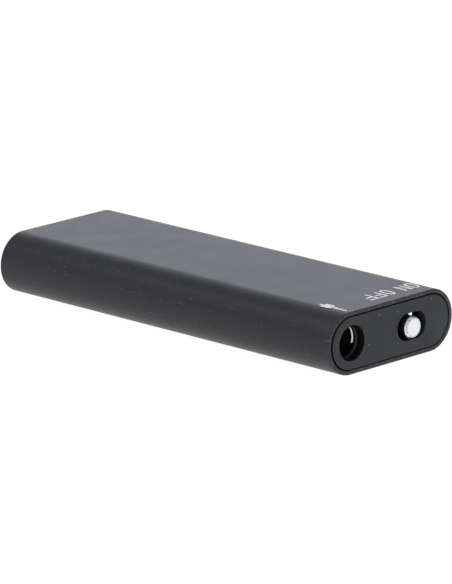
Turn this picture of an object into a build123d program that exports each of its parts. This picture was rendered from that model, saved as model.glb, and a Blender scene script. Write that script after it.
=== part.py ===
"""Pocket voice recorder, an assembly of separate pieces.

A flat extruded aluminium case with round sides is closed by a plastic cap at each end. The front cap has
the mouth of a 3.5 mm jack and the slot of a slide switch. Inside, a moulded carrier holds one circuit board
with the jack, switch, lamp and chips under it, a flat battery and a microphone at the rear cap.

Frame: the origin is the middle of the flat underside, +X runs across the width, +Y from the front end with
the controls to the rear end, and +Z up to the printed face. Lengths are in millimetres.
"""

import os
from math import cos, radians, sin

from build123d import *

# Case
LENGTH = 51.0
WIDTH = 20.0
THICKNESS = 7.05
SIDE_RADIUS = 3.5  # the long sides are almost half round
WALL = 0.8
RIM = 0.47  # wall left beside each cap
EDGE_BREAK = 0.05  # chamfer on the case's end edges
MID_Z = THICKNESS / 2
FRONT_Y = -LENGTH / 2
REAR_Y = LENGTH / 2

# End caps
CAP_PLATE = 1.05  # thickness of the plate that fills the end of the case
CAP_PROUD = 0.05  # the plate stands this far out of the case
CAP_GAP = 0.12  # dark gap above and below the plate
CAP_SIDE_GAP = 0.22  # and at its round sides
CAP_EDGE = 0.04
HOLE_EDGE = 0.06
SEAT_DEPTH = CAP_PLATE - CAP_PROUD
SEAT_FRONT_Y = FRONT_Y + SEAT_DEPTH  # back of the front plate
SEAT_REAR_Y = REAR_Y - SEAT_DEPTH
SKIRT_CLEARANCE = 0.05
SKIRT_WALL = 0.55
SKIRT_LENGTH = 2.2
SKIRT_OUTSIDE = WALL + SKIRT_CLEARANCE
SKIRT_INSIDE = SKIRT_OUTSIDE + SKIRT_WALL

# Jack
JACK_X = -6.25
JACK_BORE = 1.8  # radius, for a 3.5 mm plug
JACK_CHAMBER = 2.1  # radius behind the mouth, where the springs work
JACK_BARREL = 2.45
JACK_LENGTH = 13.0
JACK_BLOCK_SIDE = 3.15  # from the bore's axis to the flat side that faces the board
JACK_BLOCK_HEIGHT = 4.8
MOUTH_LENGTH = 3.4
COLLAR_LENGTH = 0.3
SLEEVE_ARC = (-20.0, 75.0)  # degrees from +X towards +Z
SLEEVE_SETBACK = 0.6  # from the mouth to the sleeve contact's front edge
SLEEVE_SHEET = 0.22
SLEEVE_LIP = (0.1, 0.08)  # lead-in for the plug, across the sheet and along the bore
PLUG_HOLE = 2.0  # radius of the hole in the front cap
MOUTH_LEAD_IN = 0.08
LUG_SHEET = 0.2
LUG_WIDTH = 0.8

# Contact springs. Each depth is from the jack's mouth to the spring's root.
SPRING_ARM = 3.0
SPRING_TAIL = 0.8
SPRING_SHEET = 0.15
SPRING_WIDTH = 1.4
SPRING_ROOT = 0.18
ROOT_REACH = 2.15  # root's distance from the bore's axis
APEX_REACH = 1.5
TAIL_REACH = 1.85
POCKET_WIDTH = 1.7
FRONT_SPRING_DEPTH = 4.2
MIDDLE_SPRING_DEPTH = 6.6
TIP_SPRING_DEPTH = 9.2

# Slide switch
SLOT_X = 3.37
SLOT_LENGTH = 4.6
SLOT_HEIGHT = 3.05
KNOB_X = 3.04  # at rest, switched off
KNOB_TRAVEL = 1.2
KNOB_RADIUS = 1.25
KNOB_LENGTH = 1.2
KNOB_PROUD = 0.6
KNOB_BEVEL = (0.28, 0.16)  # along the knob and across it
KNOB_SOCKET = 0.4
STEM_WIDTH = 1.4
STEM_HEIGHT = 1.0
SWITCH_X = 3.45
SWITCH_WIDTH = 7.0
SWITCH_DEPTH = 3.4
SWITCH_FRONT_Y = -23.2
SWITCH_FLOOR_Z = 2.3
SWITCH_SHEET = 0.2
SWITCH_BASE = 0.4
SLIDER_WIDTH = 3.0
SLIDER_DEPTH = 2.8
SLIDER_BOTTOM_Z = 2.55
SLIDER_TOP_Z = 3.95
CONTACT_PITCH = 1.6
PIN_WIDTH = 0.4
PAD_MARGIN = (0.15, 0.5)  # how far a fixed contact is wider than its pin, along X and Y
LAMP_X = 4.33  # the lamp shines out through the top of the slot
LAMP = (0.48, 0.35, 0.5)

# Circuit board and carrier
BOARD_Z = 4.75  # underside of the board
BOARD_THICK = 0.8
BOARD_WIDTH = 16.0
BOARD_LENGTH = 44.2
BOARD_TOP_Z = BOARD_Z + BOARD_THICK
TONGUE = (-2.9, 6.5)  # x range of the part that reaches the switch and lamp
TONGUE_FRONT_Y = -24.45
NOTCH_X = -3.0
NOTCH_REAR_Y = -10.2
CARRIER_LENGTH = 44.4
CARRIER_POCKET = 13.0
FLOOR_Z = 1.25
SCREW_X = 5.5
SCREW_YS = (-8.6, 21.1)
SCREW_SPOTS = [(x, y) for x in (-SCREW_X, SCREW_X) for y in SCREW_YS]
SCREW_RADIUS = 0.6
SCREW_HEAD = 1.0
SCREW_HEAD_HEIGHT = 0.5
SCREW_LENGTH = 2.6
BOSS_RADIUS = 1.05

# Battery
CELL = (12.0, 20.0, 3.0)
CELL_Y = 10.0
FILM = 0.1
CELL_BOTTOM_Z = FLOOR_Z + FILM
CELL_TOP_Z = CELL_BOTTOM_Z + CELL[2]
GUARD_BOARD = (11.0, 2.8, 0.6)
GUARD_BOARD_Z = 3.2
LEAD_RADIUS = 0.3
LEAD_X = 4.6

# Microphone, on the case's centre line behind the rear cap
MIC_RADIUS = 2.0
MIC_LENGTH = 1.5
BOOT_RADIUS = 2.45
SOUND_PORT = 0.5
MESH_THICK = 0.2

os.makedirs("parts", exist_ok=True)


def end_plane(y, x=0.0):
    """Plane square to the case's length: local x is X, local y is Z from mid thickness, and it faces -Y."""
    return Plane(origin=(x, y, MID_Z), x_dir=(1, 0, 0), z_dir=(0, -1, 0))


def case_outline(inset, mode=Mode.ADD):
    """The case's cross-section, moved in by inset."""
    width, height = WIDTH - 2 * inset, THICKNESS - 2 * inset
    RectangleRounded(width, height, SIDE_RADIUS - inset, mode=mode)


def block(x_range, y_range, z_range, mode=Mode.ADD):
    """A box between pairs of coordinates."""
    size = [high - low for low, high in (x_range, y_range, z_range)]
    middle = [(high + low) / 2 for low, high in (x_range, y_range, z_range)]
    with Locations(tuple(middle)):
        Box(*size, mode=mode)


def keep(builder, name):
    """Labels a finished piece and writes it under its node's name."""
    builder.part.label = name
    export_step(builder.part, f"parts/{name}.step")


# ---------------------------------------------------------------- case and caps

with BuildPart() as body_shell:
    with BuildSketch(end_plane(FRONT_Y)):
        case_outline(0)
        case_outline(WALL, Mode.SUBTRACT)
    extrude(amount=-LENGTH)
    for end_y, depth in ((FRONT_Y, -SEAT_DEPTH), (REAR_Y, SEAT_DEPTH)):
        with BuildSketch(end_plane(end_y)):
            case_outline(RIM)
        extrude(amount=depth, mode=Mode.SUBTRACT)
    end_faces = body_shell.faces().sort_by(Axis.Y)
    rims = end_faces[0].outer_wire().edges() + end_faces[-1].outer_wire().edges()
    chamfer(rims, EDGE_BREAK)
keep(body_shell, "body_shell")


def skirt_outline():
    """The thin wall that guides a cap into the case."""
    case_outline(SKIRT_OUTSIDE)
    case_outline(SKIRT_INSIDE, Mode.SUBTRACT)


def plate_outline():
    """The plate that closes an end of the case."""
    width = WIDTH - 2 * (RIM + CAP_SIDE_GAP)
    height = THICKNESS - 2 * (RIM + CAP_GAP)
    RectangleRounded(width, height, SIDE_RADIUS - RIM - CAP_GAP)


with BuildPart() as front_cap:
    with BuildSketch(end_plane(FRONT_Y - CAP_PROUD)):
        plate_outline()
        with Locations((JACK_X, 0)):
            Circle(PLUG_HOLE, mode=Mode.SUBTRACT)
        with Locations((SLOT_X, 0)):
            SlotOverall(SLOT_LENGTH, SLOT_HEIGHT, mode=Mode.SUBTRACT)
    extrude(amount=-CAP_PLATE)
    plate_face = front_cap.faces().sort_by(Axis.Y)[0]
    chamfer(plate_face.outer_wire().edges(), CAP_EDGE)
    plate_face = front_cap.faces().sort_by(Axis.Y)[0]
    chamfer([e for wire in plate_face.inner_wires() for e in wire.edges()], HOLE_EDGE)
    with BuildSketch(end_plane(SEAT_FRONT_Y)):
        skirt_outline()
        with Locations((JACK_X, 0)):
            Rectangle(2 * JACK_BLOCK_SIDE + 0.2, THICKNESS, mode=Mode.SUBTRACT)
        with Locations((-WIDTH / 2, 0)):
            Rectangle(WIDTH / 2, THICKNESS, mode=Mode.SUBTRACT)
    extrude(amount=-SKIRT_LENGTH)
keep(front_cap, "front_cap")

with BuildPart() as rear_cap:
    with BuildSketch(end_plane(REAR_Y + CAP_PROUD)):
        plate_outline()
        Circle(SOUND_PORT, mode=Mode.SUBTRACT)
    extrude(amount=CAP_PLATE)
    plate_face = rear_cap.faces().sort_by(Axis.Y)[-1]
    chamfer(plate_face.outer_wire().edges(), CAP_EDGE)
    with BuildSketch(end_plane(SEAT_REAR_Y)):
        skirt_outline()
        Rectangle(2 * BOOT_RADIUS + 0.6, THICKNESS, mode=Mode.SUBTRACT)
    extrude(amount=SKIRT_LENGTH)
keep(rear_cap, "rear_cap")

# ---------------------------------------------------------------- jack

MOUTH_Y = SEAT_FRONT_Y  # the jack's mouth touches the back of the front plate
LUG_TOP = BOARD_Z - MID_Z  # the board's underside, measured from the jack's axis
LUG_REACH = 3.95  # where a lug ends under the board


def sleeve_band(inner, outer):
    """A band of the sleeve contact's arc, between two radii."""
    Circle(outer)
    Circle(inner, mode=Mode.SUBTRACT)
    angles = [radians(a) for a in (SLEEVE_ARC[0], sum(SLEEVE_ARC) / 2, SLEEVE_ARC[1])]
    far_points = [(9 * cos(a), 9 * sin(a)) for a in angles]
    Polygon((0, 0), *far_points, align=None, mode=Mode.INTERSECT)


with BuildPart() as jack_sleeve_contact:
    with BuildSketch(end_plane(MOUTH_Y + SLEEVE_SETBACK, JACK_X)):
        sleeve_band(JACK_BORE, JACK_BORE + SLEEVE_SHEET)
    extrude(amount=SLEEVE_SETBACK - MOUTH_LENGTH)
    front_edge = jack_sleeve_contact.faces().sort_by(Axis.Y)[0]
    inner_arc = front_edge.edges().filter_by(GeomType.CIRCLE).sort_by(SortBy.RADIUS)[0]
    chamfer(inner_arc, *SLEEVE_LIP, reference=front_edge)
    leg_start = JACK_X + 1.5  # inside the band's own thickness
    leg_y = MOUTH_Y + 2.0
    block((leg_start, JACK_X + LUG_REACH), (leg_y, leg_y + LUG_WIDTH), (BOARD_Z - LUG_SHEET, BOARD_Z))
keep(jack_sleeve_contact, "jack_sleeve_contact")


def side_lug(depth):
    """A fixed terminal beside a spring's root, with a foot under the board."""
    y = MOUTH_Y + depth
    y_range = (y - LUG_WIDTH / 2, y + LUG_WIDTH / 2)
    plate = (JACK_X + ROOT_REACH + 0.25, JACK_X + ROOT_REACH + 0.25 + LUG_SHEET)
    block(plate, y_range, (MID_Z - SPRING_WIDTH / 2, BOARD_Z))
    block((plate[0], JACK_X + LUG_REACH), y_range, (BOARD_Z - LUG_SHEET, BOARD_Z))


def bottom_lug(depth):
    """A terminal that runs under the jack and up its flat side to the board."""
    y = MOUTH_Y + depth
    y_range = (y - LUG_WIDTH / 2, y + LUG_WIDTH / 2)
    outer_x = JACK_X + JACK_BLOCK_SIDE
    low_z = MID_Z - ROOT_REACH - 0.25 - LUG_SHEET
    block((JACK_X - SPRING_WIDTH / 2, outer_x + LUG_SHEET), y_range, (low_z, low_z + LUG_SHEET))
    block((outer_x, outer_x + LUG_SHEET), y_range, (low_z, BOARD_Z))
    block((outer_x, JACK_X + LUG_REACH), y_range, (BOARD_Z - LUG_SHEET, BOARD_Z))


with BuildPart() as jack_terminals:
    side_lug(FRONT_SPRING_DEPTH)
    bottom_lug(MIDDLE_SPRING_DEPTH)
    side_lug(TIP_SPRING_DEPTH)
keep(jack_terminals, "jack_terminals")

SPRING_POCKET = SPRING_ARM + SPRING_TAIL + 0.6  # length, from just in front of the root to past the tail
POCKET_LEAD = 0.4

with BuildPart() as jack_housing:
    with BuildSketch(end_plane(MOUTH_Y, JACK_X)):
        Circle(JACK_BARREL)
        with Locations((JACK_BLOCK_SIDE / 2, 0)):
            Rectangle(JACK_BLOCK_SIDE, JACK_BLOCK_HEIGHT)
    extrude(amount=-JACK_LENGTH)
    with BuildSketch(end_plane(MOUTH_Y, JACK_X)):
        Circle(JACK_BORE)
    extrude(amount=-MOUTH_LENGTH, mode=Mode.SUBTRACT)
    with BuildSketch(end_plane(MOUTH_Y + MOUTH_LENGTH, JACK_X)):
        Circle(JACK_CHAMBER)
    extrude(amount=MOUTH_LENGTH - JACK_LENGTH, mode=Mode.SUBTRACT)
    # the sleeve contact lies in a recess behind the collar
    with BuildSketch(end_plane(MOUTH_Y + COLLAR_LENGTH, JACK_X)):
        sleeve_band(JACK_BORE - 0.1, JACK_BORE + SLEEVE_SHEET)
    extrude(amount=COLLAR_LENGTH - MOUTH_LENGTH, mode=Mode.SUBTRACT)
    # windows for the springs: two on the flat side, one underneath
    half_window = POCKET_WIDTH / 2
    for depth in (FRONT_SPRING_DEPTH, TIP_SPRING_DEPTH):
        y_start = MOUTH_Y + depth - POCKET_LEAD
        y_end = min(y_start + SPRING_POCKET, MOUTH_Y + JACK_LENGTH)
        x_range = (JACK_X, JACK_X + JACK_BLOCK_SIDE)
        block(x_range, (y_start, y_end), (MID_Z - half_window, MID_Z + half_window), Mode.SUBTRACT)
    y_start = MOUTH_Y + MIDDLE_SPRING_DEPTH - POCKET_LEAD
    x_range = (JACK_X - half_window, JACK_X + half_window)
    y_range = (y_start, y_start + SPRING_POCKET)
    block(x_range, y_range, (MID_Z - JACK_BARREL, MID_Z), Mode.SUBTRACT)
    add(jack_terminals.part, mode=Mode.SUBTRACT)
    add(jack_sleeve_contact.part, mode=Mode.SUBTRACT)
    mouth_face = jack_housing.faces().sort_by(Axis.Y)[0]
    chamfer(mouth_face.inner_wires()[0].edges(), MOUTH_LEAD_IN)
keep(jack_housing, "jack_housing")


def side_spring_plane(depth):
    """Local x points away from the bore's axis, local y to the rear; the leaf is centred on the plane."""
    return Plane(origin=(JACK_X + ROOT_REACH, MOUTH_Y + depth, MID_Z), x_dir=(1, 0, 0), z_dir=(0, 0, 1))


def bottom_spring_plane(depth):
    """The same, with local x pointing down."""
    return Plane(origin=(JACK_X, MOUTH_Y + depth, MID_Z - ROOT_REACH), x_dir=(0, 0, -1), z_dir=(1, 0, 0))


def contact_spring(name, plane):
    """A leaf that starts at its round root, bends in to the plug and turns away again, along local +Y."""
    apex = (APEX_REACH - ROOT_REACH, SPRING_ARM)
    tail = (TAIL_REACH - ROOT_REACH, SPRING_ARM + SPRING_TAIL)
    with BuildPart() as spring:
        with BuildSketch(plane):
            with BuildLine():
                Polyline((0, 0), apex, tail)
            trace(line_width=SPRING_SHEET)
            Circle(SPRING_ROOT)
        extrude(amount=SPRING_WIDTH / 2, both=True)
    keep(spring, name)


contact_spring("jack_front_ring_spring", side_spring_plane(FRONT_SPRING_DEPTH))
contact_spring("jack_rear_ring_spring", bottom_spring_plane(MIDDLE_SPRING_DEPTH))
contact_spring("jack_tip_spring", side_spring_plane(TIP_SPRING_DEPTH))

# ---------------------------------------------------------------- slide switch

SWITCH_LEFT = SWITCH_X - SWITCH_WIDTH / 2
SWITCH_RIGHT = SWITCH_X + SWITCH_WIDTH / 2
SWITCH_REAR_Y = SWITCH_FRONT_Y + SWITCH_DEPTH
SWITCH_MID_Y = (SWITCH_FRONT_Y + SWITCH_REAR_Y) / 2
SWITCH_TOP_Z = BOARD_Z - SWITCH_BASE
KNOB_TIP_Y = FRONT_Y - CAP_PROUD - KNOB_PROUD
KNOB_BACK_Y = KNOB_TIP_Y + KNOB_LENGTH
MIDDLE_X = KNOB_X + KNOB_TRAVEL / 2  # the slider's middle position
WINDOW_SLACK = 0.15

with BuildPart() as switch_frame:
    walls_x = (SWITCH_LEFT, SWITCH_RIGHT)
    walls_y = (SWITCH_FRONT_Y, SWITCH_REAR_Y)
    block(walls_x, walls_y, (SWITCH_FLOOR_Z, SWITCH_TOP_Z))
    fillet(switch_frame.edges().filter_by(Axis.Z), 0.25)
    inner_x = (SWITCH_LEFT + SWITCH_SHEET, SWITCH_RIGHT - SWITCH_SHEET)
    inner_y = (SWITCH_FRONT_Y + SWITCH_SHEET, SWITCH_REAR_Y - SWITCH_SHEET)
    block(inner_x, inner_y, (SWITCH_FLOOR_Z + SWITCH_SHEET, SWITCH_TOP_Z), Mode.SUBTRACT)
    half_window = (STEM_WIDTH + KNOB_TRAVEL) / 2 + WINDOW_SLACK
    stem_half = STEM_HEIGHT / 2 + WINDOW_SLACK
    window_x = (MIDDLE_X - half_window, MIDDLE_X + half_window)
    window_y = (SWITCH_FRONT_Y, SWITCH_FRONT_Y + SWITCH_SHEET)
    block(window_x, window_y, (MID_Z - stem_half, MID_Z + stem_half), Mode.SUBTRACT)
keep(switch_frame, "switch_frame")


def at_switch_pins(margin=0.0):
    """Places for the switch's three pins, as (x range, y range)."""
    half = PIN_WIDTH / 2 + margin
    xs = [MIDDLE_X + step * CONTACT_PITCH for step in (-1, 0, 1)]
    return [((x - half, x + half), (SWITCH_MID_Y - half, SWITCH_MID_Y + half)) for x in xs]


CONTACT_Z = SLIDER_TOP_Z + 0.2  # underside of the fixed contacts
with BuildPart() as switch_terminals:
    for pin_x, pin_y in at_switch_pins():
        block(pin_x, pin_y, (CONTACT_Z, BOARD_TOP_Z + 0.3))
        pad_x = (pin_x[0] - PAD_MARGIN[0], pin_x[1] + PAD_MARGIN[0])
        pad_y = (pin_y[0] - PAD_MARGIN[1], pin_y[1] + PAD_MARGIN[1])
        block(pad_x, pad_y, (CONTACT_Z, SWITCH_TOP_Z))
keep(switch_terminals, "switch_terminals")

with BuildPart() as switch_base:
    block(walls_x, walls_y, (SWITCH_TOP_Z, BOARD_Z))
    fillet(switch_base.edges().filter_by(Axis.Z), 0.25)
    for pin_x, pin_y in at_switch_pins():
        block(pin_x, pin_y, (SWITCH_TOP_Z, BOARD_Z), Mode.SUBTRACT)
keep(switch_base, "switch_base")

with BuildPart() as switch_slider:
    half = SLIDER_WIDTH / 2
    slider_y = (SWITCH_MID_Y - SLIDER_DEPTH / 2, SWITCH_MID_Y + SLIDER_DEPTH / 2)
    block((KNOB_X - half, KNOB_X + half), slider_y, (SLIDER_BOTTOM_Z, SLIDER_TOP_Z))
    fillet(switch_slider.edges().filter_by(Axis.Z), 0.2)
    stem_x = (KNOB_X - STEM_WIDTH / 2, KNOB_X + STEM_WIDTH / 2)
    stem_z = (MID_Z - STEM_HEIGHT / 2, MID_Z + STEM_HEIGHT / 2)
    # the part of the stem above the block's top is only in front of it
    block(stem_x, (KNOB_BACK_Y - KNOB_SOCKET, SWITCH_FRONT_Y + SWITCH_SHEET + 0.1), stem_z)
keep(switch_slider, "switch_slider")

with BuildPart() as switch_wiper:
    wiper_half = CONTACT_PITCH / 2 + 0.45
    wiper_y = (SWITCH_MID_Y - 0.5, SWITCH_MID_Y + 0.5)
    block((KNOB_X - wiper_half, KNOB_X + wiper_half), wiper_y, (SLIDER_TOP_Z, SLIDER_TOP_Z + 0.1))
    bump_xs = (KNOB_X - CONTACT_PITCH / 2, KNOB_X + CONTACT_PITCH / 2)
    with Locations(*[(x, SWITCH_MID_Y, SLIDER_TOP_Z + 0.1) for x in bump_xs]):
        Cylinder(0.25, 0.06, align=(Align.CENTER, Align.CENTER, Align.MIN))
keep(switch_wiper, "switch_wiper")

with BuildPart() as switch_knob:
    with BuildSketch(end_plane(KNOB_TIP_Y, KNOB_X)):
        Circle(KNOB_RADIUS)
    extrude(amount=-KNOB_LENGTH)
    knob_face = switch_knob.faces().sort_by(Axis.Y)[0]
    chamfer(knob_face.edges(), KNOB_BEVEL[1], KNOB_BEVEL[0], reference=knob_face)
    with BuildSketch(end_plane(KNOB_BACK_Y, KNOB_X)):
        Rectangle(STEM_WIDTH, STEM_HEIGHT)
    extrude(amount=KNOB_SOCKET, mode=Mode.SUBTRACT)
keep(switch_knob, "switch_knob")

# ---------------------------------------------------------------- circuit board

with BuildPart() as main_circuit_board:
    with BuildSketch(Plane.XY.offset(BOARD_Z)):
        Rectangle(BOARD_WIDTH, BOARD_LENGTH)
        notch_width = BOARD_WIDTH / 2 + NOTCH_X
        notch_length = BOARD_LENGTH / 2 + NOTCH_REAR_Y
        with Locations((NOTCH_X - notch_width / 2, NOTCH_REAR_Y - notch_length / 2)):
            Rectangle(notch_width, notch_length, mode=Mode.SUBTRACT)
        tongue_length = -BOARD_LENGTH / 2 - TONGUE_FRONT_Y
        with Locations(((TONGUE[0] + TONGUE[1]) / 2, TONGUE_FRONT_Y + tongue_length / 2)):
            Rectangle(TONGUE[1] - TONGUE[0], tongue_length)
    extrude(amount=BOARD_THICK)
    with Locations(*[(x, y, BOARD_TOP_Z) for x, y in SCREW_SPOTS]):
        Hole(SCREW_RADIUS + 0.1)
    for pin_x, pin_y in at_switch_pins():
        block(pin_x, pin_y, (BOARD_Z, BOARD_TOP_Z), Mode.SUBTRACT)
keep(main_circuit_board, "main_circuit_board")

with BuildPart() as pcb_screws:
    with Locations(*[(x, y, BOARD_TOP_Z) for x, y in SCREW_SPOTS]):
        Cylinder(SCREW_HEAD, SCREW_HEAD_HEIGHT, align=(Align.CENTER, Align.CENTER, Align.MIN))
        Cylinder(SCREW_RADIUS, SCREW_LENGTH, align=(Align.CENTER, Align.CENTER, Align.MAX))
    with Locations(*[(x, y, BOARD_TOP_Z + SCREW_HEAD_HEIGHT) for x, y in SCREW_SPOTS]):
        Box(1.2, 0.25, 0.5, mode=Mode.SUBTRACT)
        Box(0.25, 1.2, 0.5, mode=Mode.SUBTRACT)
keep(pcb_screws, "pcb_screws")

with BuildPart() as indicator_led:
    lamp_x = (LAMP_X - LAMP[0] / 2, LAMP_X + LAMP[0] / 2)
    lamp_y = (TONGUE_FRONT_Y, TONGUE_FRONT_Y + LAMP[1])
    block(lamp_x, lamp_y, (BOARD_Z - LAMP[2], BOARD_Z))
    lens_edges = indicator_led.faces().sort_by(Axis.Z)[0].edges()
    fillet(lens_edges, 0.1)
keep(indicator_led, "indicator_led")

PROCESSOR = (2.0, -15.0)
with BuildPart() as processor_chip:
    with Locations((*PROCESSOR, BOARD_Z - 0.1)):
        Box(5.0, 5.0, 1.4, align=(Align.CENTER, Align.CENTER, Align.MAX))
    chamfer(processor_chip.edges().filter_by(Axis.Z), 0.3)
keep(processor_chip, "processor_chip")

with BuildPart() as processor_leads:
    lead_steps = [(step - 3.5) * 0.5 for step in range(8)]
    for side in (-1, 1):
        reach = side * 3.0
        spots = [(reach, s) for s in lead_steps]
        with Locations(*[(PROCESSOR[0] + x, PROCESSOR[1] + y, BOARD_Z) for x, y in spots]):
            Box(1.0, 0.22, 0.15, align=(Align.CENTER, Align.CENTER, Align.MAX))
        with Locations(*[(PROCESSOR[0] + y, PROCESSOR[1] + x, BOARD_Z) for x, y in spots]):
            Box(0.22, 1.0, 0.15, align=(Align.CENTER, Align.CENTER, Align.MAX))
keep(processor_leads, "processor_leads")


def hanging_chip(name, x, y, size):
    """A plain chip soldered under the board."""
    with BuildPart() as chip:
        with Locations((x, y, BOARD_Z)):
            Box(*size, align=(Align.CENTER, Align.CENTER, Align.MAX))
        chamfer(chip.faces().sort_by(Axis.Z)[0].edges(), 0.1)
    keep(chip, name)


hanging_chip("memory_chip", 0.0, -6.6, (8.0, 6.0, 0.8))
hanging_chip("crystal_can", 5.75, -5.3, (1.4, 3.2, 0.8))
hanging_chip("voltage_regulator", -5.75, -5.4, (1.4, 2.9, 1.1))


def row_of_chips(name, spots, size):
    """Small parts on top of the board."""
    with BuildPart() as chips:
        with Locations(*[(x, y, BOARD_TOP_Z) for x, y in spots]):
            Box(*size, align=(Align.CENTER, Align.CENTER, Align.MIN))
    keep(chips, name)


capacitor_spots = [(-1.5 + 1.5 * i, y) for i in range(4) for y in (-17.5, -6.0, 4.0)]
resistor_spots = [(-1.5 + 1.5 * i, y) for i in range(4) for y in (-15.5, -4.0, 6.0)]
row_of_chips("ceramic_capacitors", capacitor_spots, (0.5, 1.0, 0.5))
row_of_chips("chip_resistors", resistor_spots, (0.5, 1.0, 0.35))

# ---------------------------------------------------------------- carrier

with BuildPart() as carrier_frame:
    with BuildSketch(end_plane(-CARRIER_LENGTH / 2)):
        case_outline(SKIRT_OUTSIDE)
        board_height = BOARD_Z - MID_Z
        with Locations((0, board_height + THICKNESS / 2)):
            Rectangle(WIDTH, THICKNESS, mode=Mode.SUBTRACT)
        with Locations((0, FLOOR_Z - MID_Z + THICKNESS / 2)):
            Rectangle(CARRIER_POCKET, THICKNESS, mode=Mode.SUBTRACT)
    extrude(amount=-CARRIER_LENGTH)
    # room for the jack on the left and for the switch on the right
    front = (-CARRIER_LENGTH / 2, NOTCH_REAR_Y + 0.2)
    block((-WIDTH / 2, NOTCH_X + 0.25), front, (0, THICKNESS), Mode.SUBTRACT)
    switch_room = (-CARRIER_LENGTH / 2, SWITCH_REAR_Y + 0.2)
    block((0, SWITCH_RIGHT + 0.15), switch_room, (FLOOR_Z, BOARD_Z), Mode.SUBTRACT)
    with Locations(*[(x, y, FLOOR_Z) for x, y in SCREW_SPOTS]):
        Cylinder(BOSS_RADIUS, BOARD_Z - FLOOR_Z, align=(Align.CENTER, Align.CENTER, Align.MIN))
    with Locations(*[(x, y, BOARD_Z) for x, y in SCREW_SPOTS]):
        Cylinder(SCREW_RADIUS, 2.2, align=(Align.CENTER, Align.CENTER, Align.MAX), mode=Mode.SUBTRACT)
keep(carrier_frame, "carrier_frame")

# ---------------------------------------------------------------- battery

with BuildPart() as battery_cell:
    with Locations((0, CELL_Y, CELL_BOTTOM_Z)):
        Box(*CELL, align=(Align.CENTER, Align.CENTER, Align.MIN))
    fillet(battery_cell.edges().filter_by(Axis.Y), 0.6)
keep(battery_cell, "battery_cell")

CELL_FRONT_Y = CELL_Y - CELL[1] / 2

with BuildPart() as insulation_film:
    with Locations((0, CELL_Y, FLOOR_Z)):
        Box(CELL[0], CELL[1], FILM, align=(Align.CENTER, Align.CENTER, Align.MIN))
keep(insulation_film, "insulation_film")

with BuildPart() as battery_foam_pad:
    with Locations((0, CELL_Y, CELL_TOP_Z)):
        Box(9.0, 16.0, BOARD_Z - CELL_TOP_Z, align=(Align.CENTER, Align.CENTER, Align.MIN))
keep(battery_foam_pad, "battery_foam_pad")

GUARD_Y = CELL_FRONT_Y - 0.2 - GUARD_BOARD[1] / 2
GUARD_TOP_Z = GUARD_BOARD_Z + GUARD_BOARD[2]
with BuildPart() as battery_protection_board:
    with Locations((0, GUARD_Y, GUARD_BOARD_Z)):
        Box(*GUARD_BOARD, align=(Align.CENTER, Align.CENTER, Align.MIN))
keep(battery_protection_board, "battery_protection_board")

with BuildPart() as protection_chip:
    with Locations((0, GUARD_Y, GUARD_BOARD_Z)):
        Box(2.9, 1.6, 1.1, align=(Align.CENTER, Align.CENTER, Align.MAX))
    chamfer(protection_chip.faces().sort_by(Axis.Z)[0].edges(), 0.1)
keep(protection_chip, "protection_chip")

with BuildPart() as battery_tabs:
    for x in (-2.5, 2.5):
        block((x - 0.8, x + 0.8), (CELL_FRONT_Y - 1.8, CELL_FRONT_Y), (GUARD_TOP_Z, GUARD_TOP_Z + 0.1))
keep(battery_tabs, "battery_tabs")


def battery_lead(name, x):
    """A short wire from the protection board forwards and up to the main board."""
    wire_z = GUARD_TOP_Z + LEAD_RADIUS
    start_y, turn_y = GUARD_Y + 0.6, GUARD_Y - 2.4
    with BuildPart() as lead:
        with BuildLine() as route:
            FilletPolyline((x, start_y, wire_z), (x, turn_y, wire_z), (x, turn_y, BOARD_Z), radius=0.5)
        with BuildSketch(Plane(origin=(x, start_y, wire_z), z_dir=(0, -1, 0))):
            Circle(LEAD_RADIUS)
        sweep(path=route.wire())
    keep(lead, name)


battery_lead("battery_lead_positive", -LEAD_X)
battery_lead("battery_lead_negative", LEAD_X)

# ---------------------------------------------------------------- microphone

MIC_BACK_Y = SEAT_REAR_Y - MESH_THICK - MIC_LENGTH

with BuildPart() as microphone_capsule:
    with BuildSketch(end_plane(MIC_BACK_Y)):
        Circle(MIC_RADIUS)
    extrude(amount=-MIC_LENGTH)
    chamfer(microphone_capsule.edges().filter_by(GeomType.CIRCLE), 0.1)
keep(microphone_capsule, "microphone_capsule")

with BuildPart() as microphone_boot:
    with BuildSketch(end_plane(MIC_BACK_Y)):
        Circle(BOOT_RADIUS)
        Circle(MIC_RADIUS, mode=Mode.SUBTRACT)
    extrude(amount=MIC_BACK_Y - SEAT_REAR_Y)
keep(microphone_boot, "microphone_boot")

with BuildPart() as sound_port_mesh:
    with BuildSketch(end_plane(SEAT_REAR_Y)):
        Circle(1.5)
    extrude(amount=MESH_THICK)
keep(sound_port_mesh, "sound_port_mesh")

with BuildPart() as microphone_leads:
    for x in (-0.8, 0.8):
        turn_y = BOARD_LENGTH / 2 - 0.3
        with BuildLine() as route:
            FilletPolyline((x, MIC_BACK_Y, MID_Z), (x, turn_y, MID_Z), (x, turn_y, BOARD_Z), radius=0.4)
        with BuildSketch(Plane(origin=(x, MIC_BACK_Y, MID_Z), z_dir=(0, -1, 0))):
            Circle(0.18)
        sweep(path=route.wire())
keep(microphone_leads, "microphone_leads")
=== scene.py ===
"""Looks of the pocket voice recorder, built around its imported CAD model.

Lengths are in metres in the row frame: +X across the width, +Y from the front end to the
rear end, +Z up to the printed face. MM turns the millimetres that the CAD uses into metres.
"""

from math import cos, pi, radians, sin

import bmesh
import bpy
from mathutils import Matrix, Vector


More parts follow.
